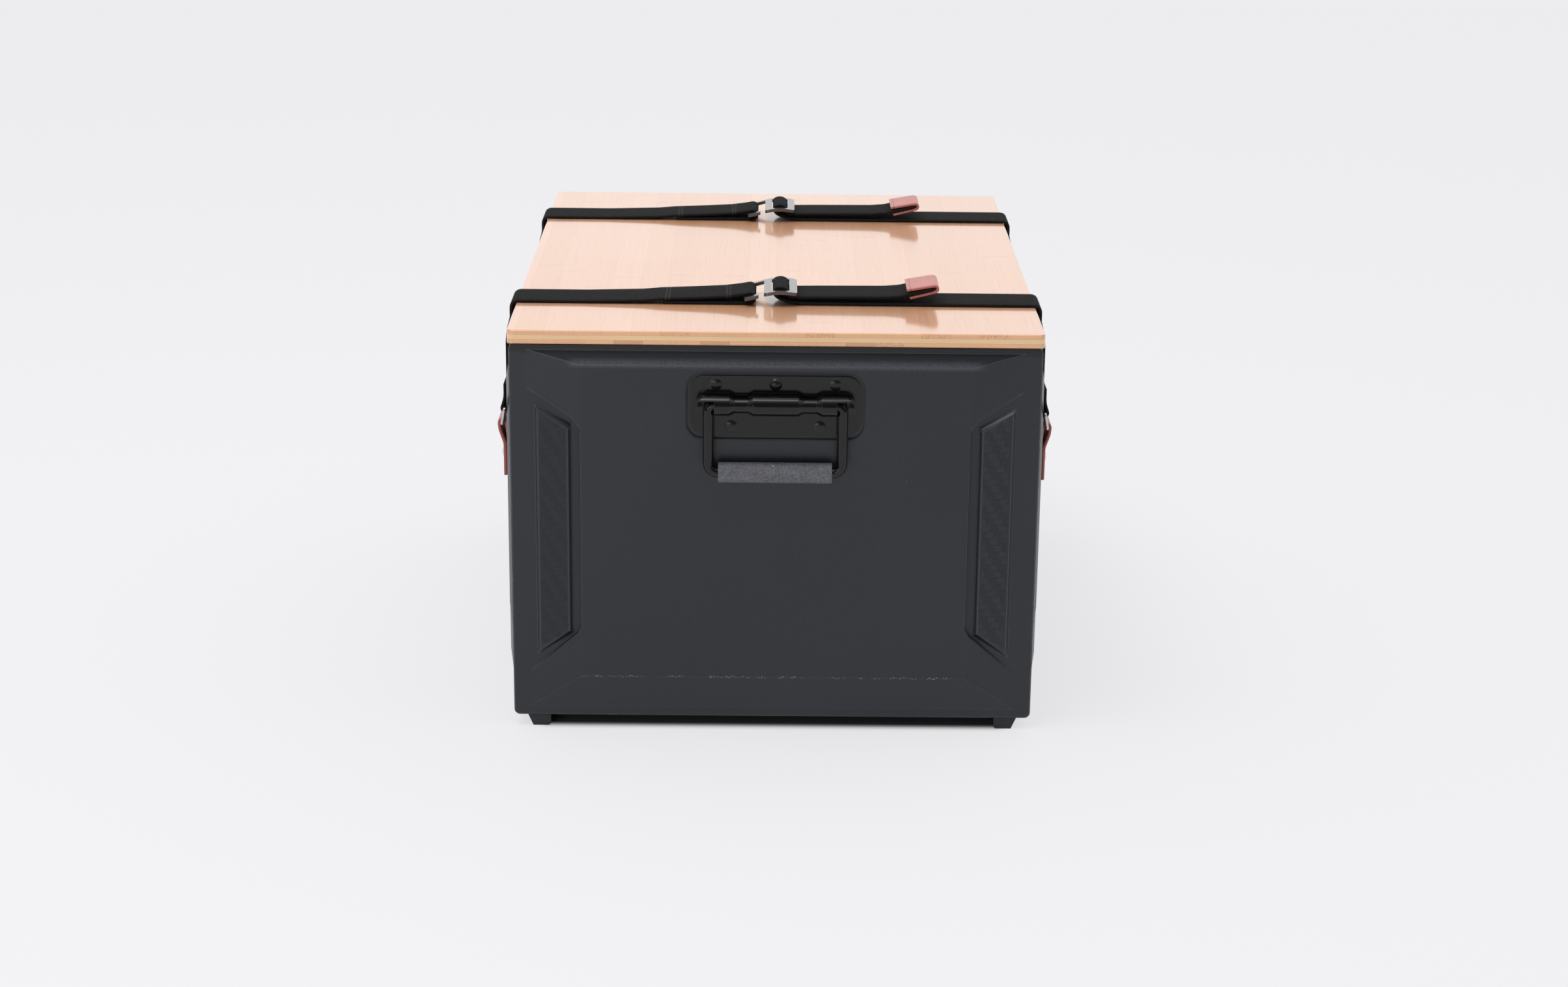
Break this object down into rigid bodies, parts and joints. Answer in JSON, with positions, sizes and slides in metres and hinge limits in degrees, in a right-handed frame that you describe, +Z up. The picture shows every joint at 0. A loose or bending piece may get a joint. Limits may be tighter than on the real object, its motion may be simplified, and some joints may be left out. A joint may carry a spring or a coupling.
{
  "type": "chuck box",
  "caption": "Black moulded box on low feet with a lift-off bamboo lid, webbing lid straps with hooks and leather tabs, and a folding drop handle at each end.",
  "frame": {"origin": "on the floor, under the middle of the box", "axes": "+Z up, the front end panel faces -Y, the straps run along X"},
  "size_m": [0.4326, 0.5678, 0.3316],
  "materials": {
    "moulded_wall": "fine matt moulded texture",
    "moulded_base": "fine matt moulded texture",
    "screw_steel": "zinc plated",
    "bamboo": "satin varnish over laid strips",
    "bamboo_batten": "satin varnish",
    "black_steel": "gloss black coat",
    "black_rivet": "gloss black coat",
    "zinc_steel": "zinc plated",
    "grip_plastic": "soft matt vinyl tube",
    "webbing": "ribbed woven webbing",
    "tip_leather": "smooth vegetable tanned",
    "loop_leather": "smooth vegetable tanned",
    "hook_alloy": "satin anodised grey",
    "ring_steel": "bright nickel",
    "rivet_nickel": "bright nickel"
  },
  "bodies": {
    "box": {"floor_pan": "moulded_base", "front_end_panel": "moulded_wall", "rear_end_panel": "moulded_wall", "left_side_panel": "moulded_wall", "right_side_panel": "moulded_wall", "corner_screws": "screw_steel", "front_left_foot": "moulded_base", "front_right_foot": "moulded_base", "rear_left_foot": "moulded_base", "rear_right_foot": "moulded_base", "foot_screws": "screw_steel", "front_handle_plate": "black_steel", "front_handle_cover": "black_steel", "front_handle_rivets": "black_rivet", "front_handle_backing_strip": "zinc_steel", "rear_handle_plate": "black_steel", "rear_handle_cover": "black_steel", "rear_handle_rivets": "black_rivet", "rear_handle_backing_strip": "zinc_steel", "front_strap_left_drop": "webbing", "front_strap_right_drop": "webbing", "rear_strap_left_drop": "webbing", "rear_strap_right_drop": "webbing", "front_left_ring": "ring_steel", "front_right_ring": "ring_steel", "rear_left_ring": "ring_steel", "rear_right_ring": "ring_steel", "front_left_leather_loop": "loop_leather", "front_right_leather_loop": "loop_leather", "rear_left_leather_loop": "loop_leather", "rear_right_leather_loop": "loop_leather", "loop_rivets": "rivet_nickel"},
    "lid": {"lid_board": "bamboo", "front_lid_batten": "bamboo_batten", "rear_lid_batten": "bamboo_batten", "lid_screws": "screw_steel", "front_strap_left_half": "webbing", "front_strap_right_half": "webbing", "front_strap_hook": "hook_alloy", "rear_strap_left_half": "webbing", "rear_strap_right_half": "webbing", "rear_strap_hook": "hook_alloy"},
    "front_strap_end": {"front_strap_tail": "webbing", "front_strap_tip": "tip_leather"},
    "rear_strap_end": {"rear_strap_tail": "webbing", "rear_strap_tip": "tip_leather"},
    "front_handle": {"front_handle_bail": "black_steel", "front_handle_grip": "grip_plastic"},
    "rear_handle": {"rear_handle_bail": "black_steel", "rear_handle_grip": "grip_plastic"}
  },
  "joints": [
    {"name": "lid_lift", "type": "slide", "parent": "box", "child": "lid", "axis": [0, 0, 1], "range_m": [0, 0.12], "deforming": ["front_strap_left_drop", "front_strap_right_drop", "rear_strap_left_drop", "rear_strap_right_drop"]},
    {"name": "front_handle_swing", "type": "hinge", "parent": "box", "child": "front_handle", "pos_m": [0, -0.2761, 0.261], "axis": [-1, 0, 0], "range_deg": [0, 90]},
    {"name": "rear_handle_swing", "type": "hinge", "parent": "box", "child": "rear_handle", "pos_m": [0, 0.2761, 0.261], "axis": [1, 0, 0], "range_deg": [0, 90]},
    {"name": "front_strap_end_lift", "type": "hinge", "parent": "lid", "child": "front_strap_end", "pos_m": [0.02, -0.1595, 0.3204], "axis": [0, -1, 0], "range_deg": [0, 90]},
    {"name": "rear_strap_end_lift", "type": "hinge", "parent": "lid", "child": "rear_strap_end", "pos_m": [0.02, 0.1595, 0.3204], "axis": [0, -1, 0], "range_deg": [0, 90]}
  ]
}
